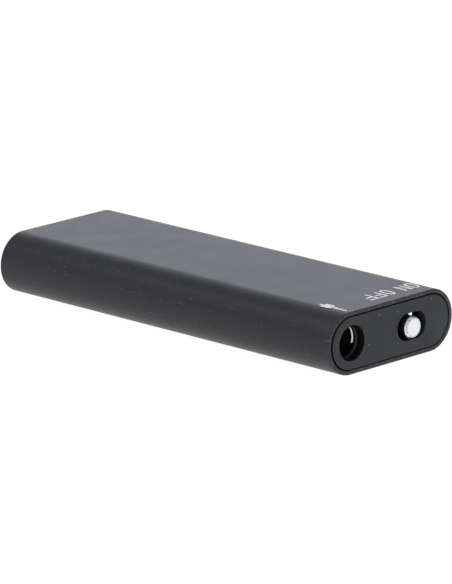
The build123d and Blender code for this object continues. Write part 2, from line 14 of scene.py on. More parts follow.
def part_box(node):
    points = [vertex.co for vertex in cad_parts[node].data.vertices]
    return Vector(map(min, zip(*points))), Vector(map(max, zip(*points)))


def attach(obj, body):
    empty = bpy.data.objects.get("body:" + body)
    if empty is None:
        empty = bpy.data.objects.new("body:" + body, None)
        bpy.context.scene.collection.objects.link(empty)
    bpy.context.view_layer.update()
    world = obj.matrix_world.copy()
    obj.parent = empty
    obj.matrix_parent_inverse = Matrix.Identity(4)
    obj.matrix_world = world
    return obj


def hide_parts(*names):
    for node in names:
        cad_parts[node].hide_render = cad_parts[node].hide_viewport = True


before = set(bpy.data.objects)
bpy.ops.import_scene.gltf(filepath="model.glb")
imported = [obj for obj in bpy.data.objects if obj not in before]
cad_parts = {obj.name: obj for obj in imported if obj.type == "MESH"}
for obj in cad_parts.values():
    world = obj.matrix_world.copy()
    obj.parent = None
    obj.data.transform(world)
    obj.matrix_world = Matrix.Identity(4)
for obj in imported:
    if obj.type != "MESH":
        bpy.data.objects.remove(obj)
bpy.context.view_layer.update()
MM = 0.001

# ---------------------------------------------------------------- places, from the CAD boxes

CASE_LOW, CASE_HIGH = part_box("body_shell")
FRONT_Y, REAR_Y = CASE_LOW.y, CASE_HIGH.y
HALF_WIDTH, THICKNESS = CASE_HIGH.x, CASE_HIGH.z
MID_Z = THICKNESS / 2
CAP_LOW, CAP_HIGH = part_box("front_cap")
REAR_CAP_LOW, REAR_CAP_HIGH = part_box("rear_cap")
JACK_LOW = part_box("jack_housing")[0]
KNOB_LOW, KNOB_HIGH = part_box("switch_knob")
LAMP_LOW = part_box("indicator_led")[0]

JACK_BARREL_RADIUS = 2.45 * MM
JACK_X = JACK_LOW.x + JACK_BARREL_RADIUS
MOUTH_Y = JACK_LOW.y
KNOB_X = (KNOB_LOW.x + KNOB_HIGH.x) / 2
KNOB_RADIUS = (KNOB_HIGH.x - KNOB_LOW.x) / 2

# The case's section, the same as in the CAD.
SIDE_RADIUS = 3.5 * MM
WALL = 0.8 * MM
RIM = 0.47 * MM  # the wall is thinner where a cap's plate sits

# ---------------------------------------------------------------- mesh helpers

ARC_STEPS = 28  # segments in each quarter of the case's round sides
SLOT_STEPS = 28  # in each round end of the switch's slot
HOLE_STEPS = 72
PORT_STEPS = 48
KNOB_STEPS = 96
EDGE_STEPS = 4  # in each rounded edge
SMOOTH_ANGLE = 35  # degrees: a sharper edge stays sharp
MERGE_DISTANCE = 1e-8


def arc_points(centre, radius, start, end, steps):
    """Points on an arc in the X-Z plane, angles in degrees from +X towards +Z."""
    angles = [radians(start + (end - start) * i / steps) for i in range(steps + 1)]
    return [(centre[0] + radius * cos(a), centre[1] + radius * sin(a)) for a in angles]


def case_outline(inset, shorter=0.0):
    """The case's cross-section moved in by inset, as (x, z) points, anticlockwise from +X.

    shorter moves each round side in by that much more.
    """
    reach_x, reach_z = HALF_WIDTH - SIDE_RADIUS - shorter, MID_Z - SIDE_RADIUS
    points = []
    for quarter, (sx, sz) in enumerate(((1, 1), (-1, 1), (-1, -1), (1, -1))):
        centre = (sx * reach_x, MID_Z + sz * reach_z)
        start = 90 * quarter
        points += arc_points(centre, SIDE_RADIUS - inset, start, start + 90, ARC_STEPS)
    return points


def round_outline(x, radius, steps):
    """A circle about the mid-height of the case."""
    return arc_points((x, MID_Z), radius, 0, 360, steps)[:-1]


def slot_outline(x, length, height):
    """A slot with round ends about the mid-height of the case."""
    shift, radius = (length - height) / 2, height / 2
    right = arc_points((x + shift, MID_Z), radius, -90, 90, SLOT_STEPS)
    left = arc_points((x - shift, MID_Z), radius, 90, 270, SLOT_STEPS)
    return right + left


def edge_stations(edge, y, inward):
    """(offset, y) pairs round a quarter fillet, from the end face to the side.

    inward is the way into the object along Y, +1 or -1.
    """
    turns = [radians(90 * i / EDGE_STEPS) for i in range(EDGE_STEPS + 1)]
    return [(edge * (1 - sin(t)), y + inward * edge * (1 - cos(t))) for t in turns]


def bridge(bm, one, other):
    """Joins two closed rings of as many vertices by a band of faces."""
    for i in range(len(one)):
        j = (i + 1) % len(one)
        bm.faces.new((one[i], one[j], other[j], other[i]))


def add_rings(bm, outline, stations, closed=False):
    """Skins a wall through outline(offset) at each (offset, y).

    closed joins the last ring to the first. Returns the first and the last ring.
    """
    rings = [[bm.verts.new((x, y, z)) for x, z in outline(offset)] for offset, y in stations]
    pairs = list(zip(rings, rings[1:]))
    if closed:
        pairs.append((rings[-1], rings[0]))
    for one, other in pairs:
        bridge(bm, one, other)
    return rings[0], rings[-1]


def fill(bm, *loops):
    """Fills the flat region between closed loops of vertices."""
    edges = []
    for loop in loops:
        edges += [bm.edges.get((a, b)) for a, b in zip(loop, loop[1:] + loop[:1])]
    bmesh.ops.triangle_fill(bm, use_beauty=True, use_dissolve=False, edges=edges)


def piece(name, bm, materials, body="recorder"):
    """Makes a finished, smooth-shaded object from bm that rides on a body."""
    bmesh.ops.remove_doubles(bm, verts=bm.verts, dist=MERGE_DISTANCE)
    bmesh.ops.recalc_face_normals(bm, faces=bm.faces)
    mesh = bpy.data.meshes.new(name)
    bm.to_mesh(mesh)
    bm.free()
    for material in materials:
        mesh.materials.append(material)
    obj = bpy.data.objects.new(name, mesh)
    bpy.context.scene.collection.objects.link(obj)
    mesh.shade_smooth()
    mesh.set_sharp_from_angle(angle=radians(SMOOTH_ANGLE))
    flats = obj.modifiers.new("flats_stay_flat", "WEIGHTED_NORMAL")
    flats.keep_sharp = True
    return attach(obj, body)


def lathe(bm, profile, x):
    """Turns (radius, y) points about the line along Y through x and mid-height.

    Both ends are closed.
    """
    rings = []
    for radius, y in profile:
        rings.append([bm.verts.new((px, y, pz)) for px, pz in round_outline(x, radius, KNOB_STEPS)])
    for one, other in zip(rings, rings[1:]):
        bridge(bm, one, other)
    bm.faces.new(rings[0])
    bm.faces.new(rings[-1])


# ---------------------------------------------------------------- materials


class Shader:
    """A material with one Principled shader, and short calls for the nodes that drive it."""

    def __init__(self, name, colour, roughness, metallic=0.0, **constants):
        self.material = bpy.data.materials.new(name)
        self.material.use_nodes = True
        self.tree = self.material.node_tree
        self.shader = self.tree.nodes["Principled BSDF"]
        self.colour = colour
        self.shader.inputs["Base Color"].default_value = (*colour, 1)
        self.shader.inputs["Roughness"].default_value = roughness
        self.shader.inputs["Metallic"].default_value = metallic
        for socket, value in constants.items():
            self.shader.inputs[socket.replace("_", " ")].default_value = value
        self.place = self.tree.nodes.new("ShaderNodeTexCoord").outputs["Object"]

    def node(self, kind, inputs, **settings):
        """Adds a node, sets or links its inputs by name or number, and returns it."""
        made = self.tree.nodes.new(kind)
        for key, value in settings.items():
            setattr(made, key, value)
        for key, value in inputs.items():
            if isinstance(value, bpy.types.NodeSocket):
                self.tree.links.new(value, made.inputs[key])
            else:
                made.inputs[key].default_value = value
        return made

    def maths(self, operation, one, other=0.0):
        inputs = {0: one, 1: other}
        return self.node("ShaderNodeMath", inputs, operation=operation).outputs[0]

    def times(self, one, other):
        return self.maths("MULTIPLY", one, other)

    def link(self, output, socket):
        self.tree.links.new(output, self.shader.inputs[socket])

    def noise(self, size, detail=3.0, stretch=(1, 1, 1)):
        """Noise whose blobs are about size across, longer along an axis with a stretch over 1."""
        mapping = {"Vector": self.place, "Scale": tuple(1 / s for s in stretch)}
        place = self.node("ShaderNodeMapping", mapping).outputs["Vector"]
        inputs = {"Vector": place, "Scale": 1 / size, "Detail": detail}
        return self.node("ShaderNodeTexNoise", inputs).outputs["Fac"]

    def ramp(self, factor, low, high, start=0.0, end=1.0):
        """factor from start to end becomes a value from low to high."""
        limits = {"From Min": start, "From Max": end, "To Min": low, "To Max": high}
        return self.node("ShaderNodeMapRange", {"Value": factor, **limits}).outputs["Result"]

    def tint(self, factor, other, under=None):
        """Mixes the base colour, or under, towards other by factor."""
        mixer = self.node("ShaderNodeMix", {"Factor": factor}, data_type="RGBA")
        colours = [socket for socket in mixer.inputs if socket.type == "RGBA"]
        if under is None:
            colours[0].default_value = (*self.colour, 1)
        else:
            self.tree.links.new(under, colours[0])
        colours[1].default_value = (*other, 1)
        return [socket for socket in mixer.outputs if socket.type == "RGBA"][0]

    def specks(self, spacing, radius, share):
        """1 inside small spots: about one in each spacing, kept for that share of them."""
        inputs = {"Vector": self.place, "Scale": 1 / spacing, "Randomness": 1.0}
        cells = self.node("ShaderNodeTexVoronoi", inputs)
        near = self.maths("LESS_THAN", cells.outputs["Distance"], radius / spacing)
        pick = self.node("ShaderNodeSeparateColor", {0: cells.outputs["Color"]}).outputs[0]
        return self.times(near, self.maths("LESS_THAN", pick, share))

    def from_middle(self, start, end):
        """0 to 1 as the distance along Y from the object's middle goes from start to end."""
        y = self.node("ShaderNodeSeparateXYZ", {0: self.place}).outputs["Y"]
        return self.ramp(self.maths("ABSOLUTE", y), 0, 1, start, end)

    def bump(self, height, distance, under=None):
        """Bump of that real height, on top of an earlier bump's normal if one is given."""
        inputs = {"Height": height, "Distance": distance, "Strength": 1.0}
        if under is not None:
            inputs["Normal"] = under
        normal = self.node("ShaderNodeBump", inputs).outputs["Normal"]
        self.link(normal, "Normal")
        return normal


def blasted_anodised():
    """Black anodised aluminium: the fine grain of bead blasting, with painted light at the ends.

    The end faces are painted paler as a highlight, the edges of the ends carry wear mixed with a
    painted edge highlight, and small pale specks all over are painted glints of the grain.
    """
    black, grain_top = (0.0055, 0.0058, 0.0066), (0.012, 0.0124, 0.0138)
    end_painted_highlight, bare_and_highlight, glint_colour = (0.0135, 0.014, 0.0156), (0.07, 0.074, 0.08), (0.2, 0.2, 0.21)
    m = Shader("blasted_anodised", black, roughness=0.42, Specular_IOR_Level=0.36)
    cloud = m.noise(size=4 * MM)
    grain = m.noise(size=0.13 * MM, detail=2.0)
    base = m.tint(m.ramp(grain, 0, 1, start=0.35, end=0.75), grain_top)
    # painted highlight: the end faces are coloured paler, as the light their rims catch
    at_end = m.from_middle(REAR_Y - 0.06 * MM, REAR_Y - 0.01 * MM)
    base = m.tint(at_end, end_painted_highlight, base)
    # real wear mixed with a painted edge highlight: pale patches along the edges of the ends
    wear_and_edge_highlight = m.ramp(m.noise(size=0.5 * MM, detail=4.0), 0, 0.65, start=0.52, end=0.68)
    near_end = m.from_middle(REAR_Y - 0.35 * MM, REAR_Y - 0.05 * MM)
    base = m.tint(m.times(wear_and_edge_highlight, near_end), bare_and_highlight, base)
    # painted glints: small pale specks in the colour, for the sparkle of the blasted grain
    painted_glints = m.specks(spacing=0.3 * MM, radius=0.04 * MM, share=0.16)
    m.link(m.tint(painted_glints, glint_colour, base), "Base Color")
    m.link(m.maths("ADD", m.ramp(cloud, 0.38, 0.46), m.ramp(grain, -0.08, 0.08)), "Roughness")
    m.bump(grain, 0.012 * MM)
    return m.material


def cap_plastic():
    """Black moulded plastic with a fine spark texture and a little dust."""
    black, paler, dust = (0.015, 0.0165, 0.0192), (0.0172, 0.0189, 0.022), (0.17, 0.17, 0.165)
    m = Shader("cap_plastic", black, roughness=0.5, Specular_IOR_Level=0.36)
    grain = m.noise(size=0.09 * MM, detail=2.0)
    cloud = m.noise(size=3 * MM)
    base = m.tint(m.ramp(cloud, 0, 1, start=0.3, end=0.8), paler)
    grains = m.specks(spacing=1.0 * MM, radius=0.09 * MM, share=0.6)
    m.link(m.tint(grains, dust, base), "Base Color")
    m.link(m.ramp(cloud, 0.45, 0.6), "Roughness")
    m.bump(grain, 0.006 * MM)
    return m.material


def cap_wall_painted_shade():
    """The same plastic behind the face, a little smoother and less shiny; its deep black is painted
    shade on the plate's sides, hole walls and back.
    """
    # painted shade: these walls are coloured darker than the cap's face, as the shade in its holes,
    # gap and back
    black, paler = (0.007, 0.0072, 0.008), (0.011, 0.0114, 0.0125)
    m = Shader("cap_wall_painted_shade", black, roughness=0.45, Specular_IOR_Level=0.14)
    patches = m.ramp(m.noise(size=0.6 * MM), 0, 1, start=0.4, end=0.8)
    m.link(m.tint(patches, paler), "Base Color")
    m.bump(m.noise(size=0.1 * MM, detail=2.0), 0.003 * MM)
    return m.material


def plastic(name, colour, roughness, grain_size=0.08 * MM, grain_height=0.003 * MM):
    """Moulded plastic: slight colour and gloss changes over a fine grain."""
    paler = tuple(c * 1.25 + 0.003 for c in colour)
    m = Shader(name, colour, roughness)
    cloud = m.noise(size=2 * MM)
    m.link(m.tint(m.ramp(cloud, 0, 1, start=0.3, end=0.8), paler), "Base Color")
    m.link(m.ramp(cloud, roughness - 0.06, min(1.0, roughness + 0.08)), "Roughness")
    m.bump(m.noise(grain_size, detail=2.0), grain_height)
    return m.material


def metal(name, colour, roughness, brush=(1, 1, 1), tarnish=None):
    """Bare or plated metal: brushed or speckled gloss, with faint tarnish."""
    darker = tuple(c * 0.7 for c in colour)
    m = Shader(name, colour, roughness, metallic=1.0)
    streaks = m.noise(size=0.12 * MM, stretch=brush)
    stain = m.ramp(m.noise(size=1.5 * MM), 0, 0.6, start=0.5, end=0.85)
    m.link(m.tint(stain, tarnish or darker), "Base Color")
    m.link(m.ramp(streaks, max(0.02, roughness - 0.07), roughness + 0.1), "Roughness")
    m.bump(streaks, 0.0015 * MM)
    return m.material


def bright_chrome():
    """Bright plating over a turned knob: faint hairlines on the face, dings on its bevel."""
    chrome, smudged, dinged = (0.78, 0.785, 0.8), (0.6, 0.61, 0.63), (0.3, 0.3, 0.32)
    face = -KNOB_LOW.y
    m = Shader("bright_chrome", chrome, roughness=0.09, metallic=1.0)
    hairlines = m.noise(size=0.05 * MM, detail=2.0, stretch=(1, 1, 14))
    off_face = m.from_middle(face, face - 0.04 * MM)
    on_bevel = m.from_middle(face - 0.34 * MM, face - 0.28 * MM)
    pits = m.ramp(m.noise(size=0.2 * MM, detail=2.0), 0, 1, start=0.55, end=0.64)
    dings = m.times(pits, m.times(off_face, on_bevel))
    smudge = m.ramp(m.noise(size=0.7 * MM, detail=2.0), 0, 0.25, start=0.55, end=0.75)
    base = m.tint(smudge, smudged)
    m.link(m.tint(m.ramp(dings, 0, 0.8), dinged, base), "Base Color")
    m.link(m.ramp(hairlines, 0.05, 0.16, start=0.3, end=0.8), "Roughness")
    dents = m.bump(m.ramp(dings, 1, 0), 0.03 * MM)
    m.bump(hairlines, 0.0005 * MM, under=dents)
    return m.material


def turned_groove():
    """The same plating, darker, at the bottom of a hairline groove."""
    groove_darker, groove_paler = (0.3, 0.3, 0.32), (0.6, 0.6, 0.62)
    m = Shader("turned_groove", groove_darker, roughness=0.3, metallic=1.0)
    patches = m.ramp(m.noise(size=0.3 * MM), 0, 1, start=0.35, end=0.7)
    m.link(m.tint(patches, groove_paler), "Base Color")
    m.bump(m.noise(size=0.05 * MM), 0.001 * MM)
    return m.material


def printed_ink():
    """Pad-printed white ink, thin enough to be a little uneven."""
    white, thin = (0.97, 0.93, 0.89), (0.74, 0.7, 0.67)
    m = Shader("printed_ink", white, roughness=0.6)
    patches = m.ramp(m.noise(size=0.12 * MM), 0, 0.4, start=0.55, end=0.85)
    m.link(m.tint(patches, thin), "Base Color")
    m.bump(m.noise(size=0.05 * MM), 0.003 * MM)
    return m.material


def lamp_lens():
    """The milky silicone on the front of a small lamp, with a painted glow for the bright light it
    shows; behind its front face it is coloured dark as painted shade in the slot.
    """
    milky, yellower, package_painted_shade = (0.9, 0.89, 0.84), (0.85, 0.8, 0.55), (0.05, 0.048, 0.042)
    # painted light: only the front face glows, so that it looks brightly lit
    front, glow = -LAMP_LOW.y, 0.75
    m = Shader("lamp_lens", milky, roughness=0.25, Emission_Color=(0.98, 0.98, 1, 1))
    behind = m.from_middle(front - 0.02 * MM, front - 0.05 * MM)
    patches = m.ramp(m.noise(size=0.3 * MM), 0, 0.4, start=0.4, end=0.7)
    # painted shade: the lamp's sides are coloured dark, as the shade they lie in inside the slot
    m.link(m.tint(behind, package_painted_shade, m.tint(patches, yellower)), "Base Color")
    m.link(m.ramp(behind, glow, 0), "Emission Strength")
    m.bump(m.noise(size=0.08 * MM), 0.002 * MM)
    return m.material


def circuit_laminate():
    """Solder mask over copper tracks that show as slightly raised, lighter lines."""
    mask, over_copper = (0.01, 0.055, 0.025), (0.03, 0.12, 0.06)
    track_spacing, track_width = 1.1 * MM, 0.07  # the width is a share of the spacing
    m = Shader("circuit_laminate", mask, roughness=0.32)
    inputs = {"Vector": m.place, "Scale": 1 / track_spacing}
    cells = m.node("ShaderNodeTexVoronoi", inputs, feature="DISTANCE_TO_EDGE")
    track = m.maths("LESS_THAN", cells.outputs["Distance"], track_width)
    m.link(m.tint(track, over_copper), "Base Color")
    m.bump(track, 0.02 * MM)
    return m.material


def woven_cloth():
    """Fine black acoustic cloth."""
    black, paler, thread = (0.02, 0.02, 0.02), (0.06, 0.06, 0.06), 0.35 * MM
    m = Shader("woven_cloth", black, roughness=0.9)

    def threads(direction):
        inputs = {"Vector": m.place, "Scale": 1 / thread}
        return m.node("ShaderNodeTexWave", inputs, bands_direction=direction).outputs["Fac"]

    weave = m.times(threads("X"), threads("Z"))
    m.link(m.tint(weave, paler), "Base Color")
    m.bump(weave, 0.03 * MM)
    return m.material


ANODISED = blasted_anodised()
CAP = cap_plastic()
CAP_WALL_PAINTED_SHADE = cap_wall_painted_shade()
INK = printed_ink()
CHROME = bright_chrome()
GROOVE = turned_groove()
CONTACT = metal("contact_plate", (0.74, 0.71, 0.65), 0.25, tarnish=(0.4, 0.34, 0.25))
STEEL = metal("stamped_steel", (0.6, 0.59, 0.57), 0.3, brush=(8, 1, 1))
# painted shade: the switch frame's bright steel is coloured near black, as the shade it lies in
# behind the slot
STEEL_PAINTED_SHADE = metal("steel_painted_shade_dark", (0.045, 0.043, 0.041), 0.5, brush=(8, 1, 1))
TIN = metal("tinned_leads", (0.72, 0.72, 0.71), 0.25)
ALUMINIUM = metal("drawn_aluminium", (0.75, 0.75, 0.77), 0.28, brush=(1, 8, 1))
JACK_BLACK = plastic("jack_black", (0.006, 0.006, 0.0065), 0.24)
BLACK_NYLON = plastic("black_nylon", (0.02, 0.02, 0.021), 0.55)
CHIP_EPOXY = plastic("chip_epoxy", (0.018, 0.018, 0.02), 0.6, 0.05 * MM, 0.004 * MM)
RUBBER = plastic("black_rubber", (0.015, 0.015, 0.015), 0.8, 0.15 * MM, 0.01 * MM)
CERAMIC = plastic("capacitor_ceramic", (0.36, 0.25, 0.15), 0.45)
GLAZE = plastic("resistor_glaze", (0.02, 0.02, 0.022), 0.2)
FILM = plastic("amber_film", (0.5, 0.3, 0.05), 0.25)
RED_WIRE = plastic("red_wire_cover", (0.5, 0.015, 0.012), 0.4)
BLACK_WIRE = plastic("black_wire_cover", (0.015, 0.015, 0.015), 0.4)
PAINTED_GLOW_LAMP = lamp_lens()
LAMINATE = circuit_laminate()
CLOTH = woven_cloth()

MATERIAL_NODES = {
    JACK_BLACK: ["jack_housing"],
    CONTACT: [
        "jack_sleeve_contact",
        "jack_terminals",
        "jack_front_ring_spring",
        "jack_rear_ring_spring",
        "jack_tip_spring",
        "switch_terminals",
        "switch_wiper",
    ],
    # the switch frame gets the steel coloured dark as painted shade
    STEEL_PAINTED_SHADE: ["switch_frame"],
    BLACK_NYLON: ["switch_base", "switch_slider", "carrier_frame"],
    LAMINATE: ["main_circuit_board", "battery_protection_board"],
    STEEL: ["pcb_screws"],
    PAINTED_GLOW_LAMP: ["indicator_led"],
    CHIP_EPOXY: ["processor_chip", "memory_chip", "voltage_regulator", "protection_chip"],
    TIN: ["processor_leads", "crystal_can", "battery_tabs", "microphone_leads"],
    CERAMIC: ["ceramic_capacitors"],
    GLAZE: ["chip_resistors"],
    ALUMINIUM: ["battery_cell", "microphone_capsule"],
    FILM: ["insulation_film"],
    RUBBER: ["battery_foam_pad", "microphone_boot"],
    RED_WIRE: ["battery_lead_positive"],
    BLACK_WIRE: ["battery_lead_negative"],
    CLOTH: ["sound_port_mesh"],
}
for node_material, node_names in MATERIAL_NODES.items():
    for node_name in node_names:
        node_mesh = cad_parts[node_name].data
        node_mesh.materials.clear()
        node_mesh.materials.append(node_material)

# ---------------------------------------------------------------- case

SEAT_DEPTH = 1.0 * MM  # how deep a cap's plate sits in the case
EDGE = 0.05 * MM
INNER_EDGE = 0.03 * MM


def build_case():
    """The extruded tube: round outer edges, a small break inside each rim, a seat for each cap."""
    rear_seat, front_seat = REAR_Y - SEAT_DEPTH, FRONT_Y + SEAT_DEPTH
    outer_front = edge_stations(EDGE, FRONT_Y, 1)
    outer_rear = [(inset, -y) for inset, y in reversed(outer_front)]
    stations = outer_front + outer_rear
    stations += [(RIM - INNER_EDGE, REAR_Y), (RIM, REAR_Y - INNER_EDGE), (RIM, rear_seat)]
    stations += [(WALL, rear_seat), (WALL, front_seat), (RIM, front_seat)]
    stations += [(RIM, FRONT_Y + INNER_EDGE), (RIM - INNER_EDGE, FRONT_Y)]
    bm = bmesh.new()
    add_rings(bm, case_outline, stations, closed=True)
    case = piece("case_tube", bm, [ANODISED])
    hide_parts("body_shell")


build_case()

# ---------------------------------------------------------------- caps

PLATE_INSET = THICKNESS - CAP_HIGH.z
PLATE_SHORTER = HALF_WIDTH - CAP_HIGH.x - PLATE_INSET
PLATE_EDGE = 0.04 * MM
HOLE_EDGE = 0.06 * MM
PLUG_HOLE_RADIUS = 2.0 * MM
SOUND_PORT_RADIUS = 0.5 * MM
SLOT_X, SLOT_LENGTH, SLOT_HEIGHT = 3.37 * MM, 4.6 * MM, 3.05 * MM
SLOT_REACH = 0.55 * SLOT_LENGTH  # from the slot's middle to just past its ends
SKIRT_OUTSIDE, SKIRT_INSIDE = 0.85 * MM, 1.4 * MM  # insets of the skirt's two sides
FRONT_SKIRT_START = JACK_X + 3.25 * MM  # clear of the jack's flat side
REAR_SKIRT_START = 2.75 * MM  # clear of the microphone's boot


def build_plate(bm, face_y, back_y, holes):
    """A cap's plate with rounded edges. holes are functions of how far the opening is widened."""
    inward = 1 if back_y > face_y else -1
    face_loops, back_loops = [], []
    walls = [(lambda grow: case_outline(PLATE_INSET + grow, PLATE_SHORTER), PLATE_EDGE)]
    walls += [(hole, HOLE_EDGE) for hole in holes]
    for outline, edge in walls:
        stations = edge_stations(edge, face_y, inward) + [(0, back_y)]
        face_loop, back_loop = add_rings(bm, outline, stations)
        face_loops.append(face_loop)
        back_loops.append(back_loop)
    fill(bm, *face_loops)
    fill(bm, *back_loops)


def build_skirt(bm, side, start_x, y_start, y_end):
    """The C-shaped wall that guides a cap into the case, from start_x to the round side.

    side is +1 or -1 along X.
    """

    def half_outline(inset):
        corner, radius = HALF_WIDTH - SIDE_RADIUS, SIDE_RADIUS - inset
        round_side = arc_points((corner, MID_Z), radius, -90, 90, 2 * ARC_STEPS)
        return [(start_x, MID_Z - radius)] + round_side + [(start_x, MID_Z + radius)]

    outline = half_outline(SKIRT_OUTSIDE) + half_outline(SKIRT_INSIDE)[::-1]
    rings = [[bm.verts.new((side * x, y, z)) for x, z in outline] for y in (y_start, y_end)]
    bridge(bm, *rings)
    fill(bm, rings[0])
    fill(bm, rings[1])


def finish_cap(bm, name, node, is_painted_shade_wall):
    """Turns bm into a cap.

    The faces for which the given test of their middle is true get the second material, whose darker
    black is painted shade.
    """
    cap = piece(name, bm, [CAP, CAP_WALL_PAINTED_SHADE])
    for face in cap.data.polygons:
        # painted shade: the faces behind the face get the darker material
        if is_painted_shade_wall(face.center):
            face.material_index = 1
    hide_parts(node)


def build_front_cap():
    def jack_hole(grow):
        return round_outline(JACK_X, PLUG_HOLE_RADIUS + grow, HOLE_STEPS)

    def switch_slot(grow):
        return slot_outline(SLOT_X, SLOT_LENGTH + 2 * grow, SLOT_HEIGHT + 2 * grow)

    # the faces that get the painted shade: all behind the face's rounded edge, except in the
    # switch's slot
    def is_painted_shade_wall(middle):
        in_slot = abs(middle.x - SLOT_X) < SLOT_REACH
        return middle.y > CAP_LOW.y + PLATE_EDGE and not in_slot

    bm = bmesh.new()
    build_plate(bm, CAP_LOW.y, MOUTH_Y, [jack_hole, switch_slot])
    build_skirt(bm, 1, FRONT_SKIRT_START, MOUTH_Y, CAP_HIGH.y)
    finish_cap(bm, "front_cap_plate", "front_cap", is_painted_shade_wall)


def build_rear_cap():
    def sound_hole(grow):
        return round_outline(0, SOUND_PORT_RADIUS + grow, PORT_STEPS)

    # the faces that get the painted shade: all behind the face's rounded edge
    def is_painted_shade_wall(middle):
        return middle.y < REAR_CAP_HIGH.y - PLATE_EDGE

    bm = bmesh.new()
    seat_y = REAR_Y - SEAT_DEPTH
    build_plate(bm, REAR_CAP_HIGH.y, seat_y, [sound_hole])
    for side in (1, -1):
        build_skirt(bm, side, REAR_SKIRT_START, REAR_CAP_LOW.y, seat_y)
    finish_cap(bm, "rear_cap_plate", "rear_cap", is_painted_shade_wall)


build_front_cap()
build_rear_cap()

# ---------------------------------------------------------------- knob

BEVEL_LENGTH, BEVEL_DEPTH = 0.28 * MM, 0.16 * MM  # along Y and towards the middle
BEVEL_SOFTNESS = 0.03 * MM
GROOVE_HALF_WIDTH, GROOVE_DEPTH = 0.025 * MM, 0.02 * MM
GROOVE_INSET = 0.09 * MM  # from the bevel to the groove's middle
GROOVE_RADIUS = KNOB_RADIUS - BEVEL_DEPTH - GROOVE_INSET
FACE_CENTRE_RADIUS = 0.3 * KNOB_RADIUS  # the face's innermost ring


def build_knob():
    """The chrome knob: a hairline groove, a bevelled edge with soft corners, a plain barrel."""
    face_y, back_y = KNOB_LOW.y, KNOB_HIGH.y
    bevel_start = KNOB_RADIUS - BEVEL_DEPTH
    profile = [
        (FACE_CENTRE_RADIUS, face_y),
        (GROOVE_RADIUS - GROOVE_HALF_WIDTH, face_y),
        (GROOVE_RADIUS, face_y + GROOVE_DEPTH),
        (GROOVE_RADIUS + GROOVE_HALF_WIDTH, face_y),
        (bevel_start - BEVEL_SOFTNESS, face_y),
        (bevel_start, face_y + BEVEL_SOFTNESS * 0.4),
        (KNOB_RADIUS - BEVEL_SOFTNESS * 0.5, face_y + BEVEL_LENGTH - BEVEL_SOFTNESS),
        (KNOB_RADIUS, face_y + BEVEL_LENGTH + BEVEL_SOFTNESS),
        (KNOB_RADIUS, back_y),
    ]
    bm = bmesh.new()
    lathe(bm, profile, KNOB_X)
    knob = piece("switch_knob_chrome", bm, [CHROME, GROOVE], "power_slider")
    for face in knob.data.polygons:
        out = (face.center - Vector((KNOB_X, face.center.y, MID_Z))).length
        if abs(out - GROOVE_RADIUS) < GROOVE_HALF_WIDTH:
            face.material_index = 1
    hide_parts("switch_knob")


build_knob()

# ---------------------------------------------------------------- printed legends

INK_THICKNESS = 0.012 * MM
STROKE = 0.26 * MM
SQUARENESS = 0.8  # of the letter O: 1 is an ellipse
OVERSHOOT = 0.05 * MM  # the O is this much taller at each end
OVAL_STEPS = 40
DIAGONAL = 1.5 * STROKE  # of the letter N, measured up the letter
ARM_HEIGHT, ARM_SHORTER = 0.48, 0.12  # of the F's middle arm, as shares of height and width
LETTER_HEIGHT = 2.04 * MM
LEGEND_FRONT = 1.57 * MM  # from the front edge to the letters' near side

# Each word has its name, its first letter's X and its letters: kind, left edge and width.
# X, edges and widths are in millimetres, and a word reads towards -X.
WORDS = (
    ("legend_on", 6.78, [("O", 0.0, 1.12), ("N", 1.38, 1.2)]),
    ("legend_off", 2.84, [("O", 0.0, 1.12), ("F", 1.49, 1.28), ("F", 2.93, 1.35)]),
)
PICTOGRAM_X, PICTOGRAM_FRONT = -6.4 * MM, 3.7 * MM


def prism(bm, corners):
    """A flat printed shape: corners are (along the reading direction, up the letter)."""
    low = [bm.verts.new((x, y, 0)) for x, y in corners]
    top = [bm.verts.new((x, y, INK_THICKNESS)) for x, y in corners]
    bm.faces.new(low[::-1])
    bm.faces.new(top)
    bridge(bm, low, top)


def oval_ring(bm, centre, half_width, half_height):
    """The letter O, a little squarer than an ellipse."""

    def squared(value):
        return abs(value) ** SQUARENESS * (1 if value > 0 else -1)

    angles = [2 * pi * (i + 0.5) / OVAL_STEPS for i in range(OVAL_STEPS)]
    rings = []
    for z in (0, INK_THICKNESS):
        for shrink in (0, STROKE):
            a, b = half_width - shrink, half_height - shrink
            points = [(a * squared(cos(t)), b * squared(sin(t))) for t in angles]
            rings.append([bm.verts.new((centre[0] + x, centre[1] + y, z)) for x, y in points])
    low_outer, low_inner, top_outer, top_inner = rings
    bridge(bm, low_outer, low_inner)
    bridge(bm, top_outer, top_inner)
    bridge(bm, low_outer, top_outer)
    bridge(bm, low_inner, top_inner)


def letter(bm, kind, left, width):
    """Draws O, N or F with its left edge at left. No two of its faces overlap."""
    h, right, inner = LETTER_HEIGHT, left + width, left + STROKE
    if kind == "O":
        oval_ring(bm, (left + width / 2, h / 2), width / 2, h / 2 + OVERSHOOT)
    elif kind == "N":
        far = right - STROKE
        corners = [(left, 0), (inner, 0), (inner, h - DIAGONAL), (far, 0), (right, 0)]
        corners += [(right, h), (far, h), (far, DIAGONAL), (inner, h), (left, h)]
        prism(bm, corners)
    else:
        arm, arm_end, below_top = ARM_HEIGHT * h, right - ARM_SHORTER * width, h - STROKE
        corners = [(left, 0), (inner, 0), (inner, arm), (arm_end, arm), (arm_end, arm + STROKE)]
        corners += [(inner, arm + STROKE), (inner, below_top), (right, below_top)]
        prism(bm, corners + [(right, h), (left, h)])


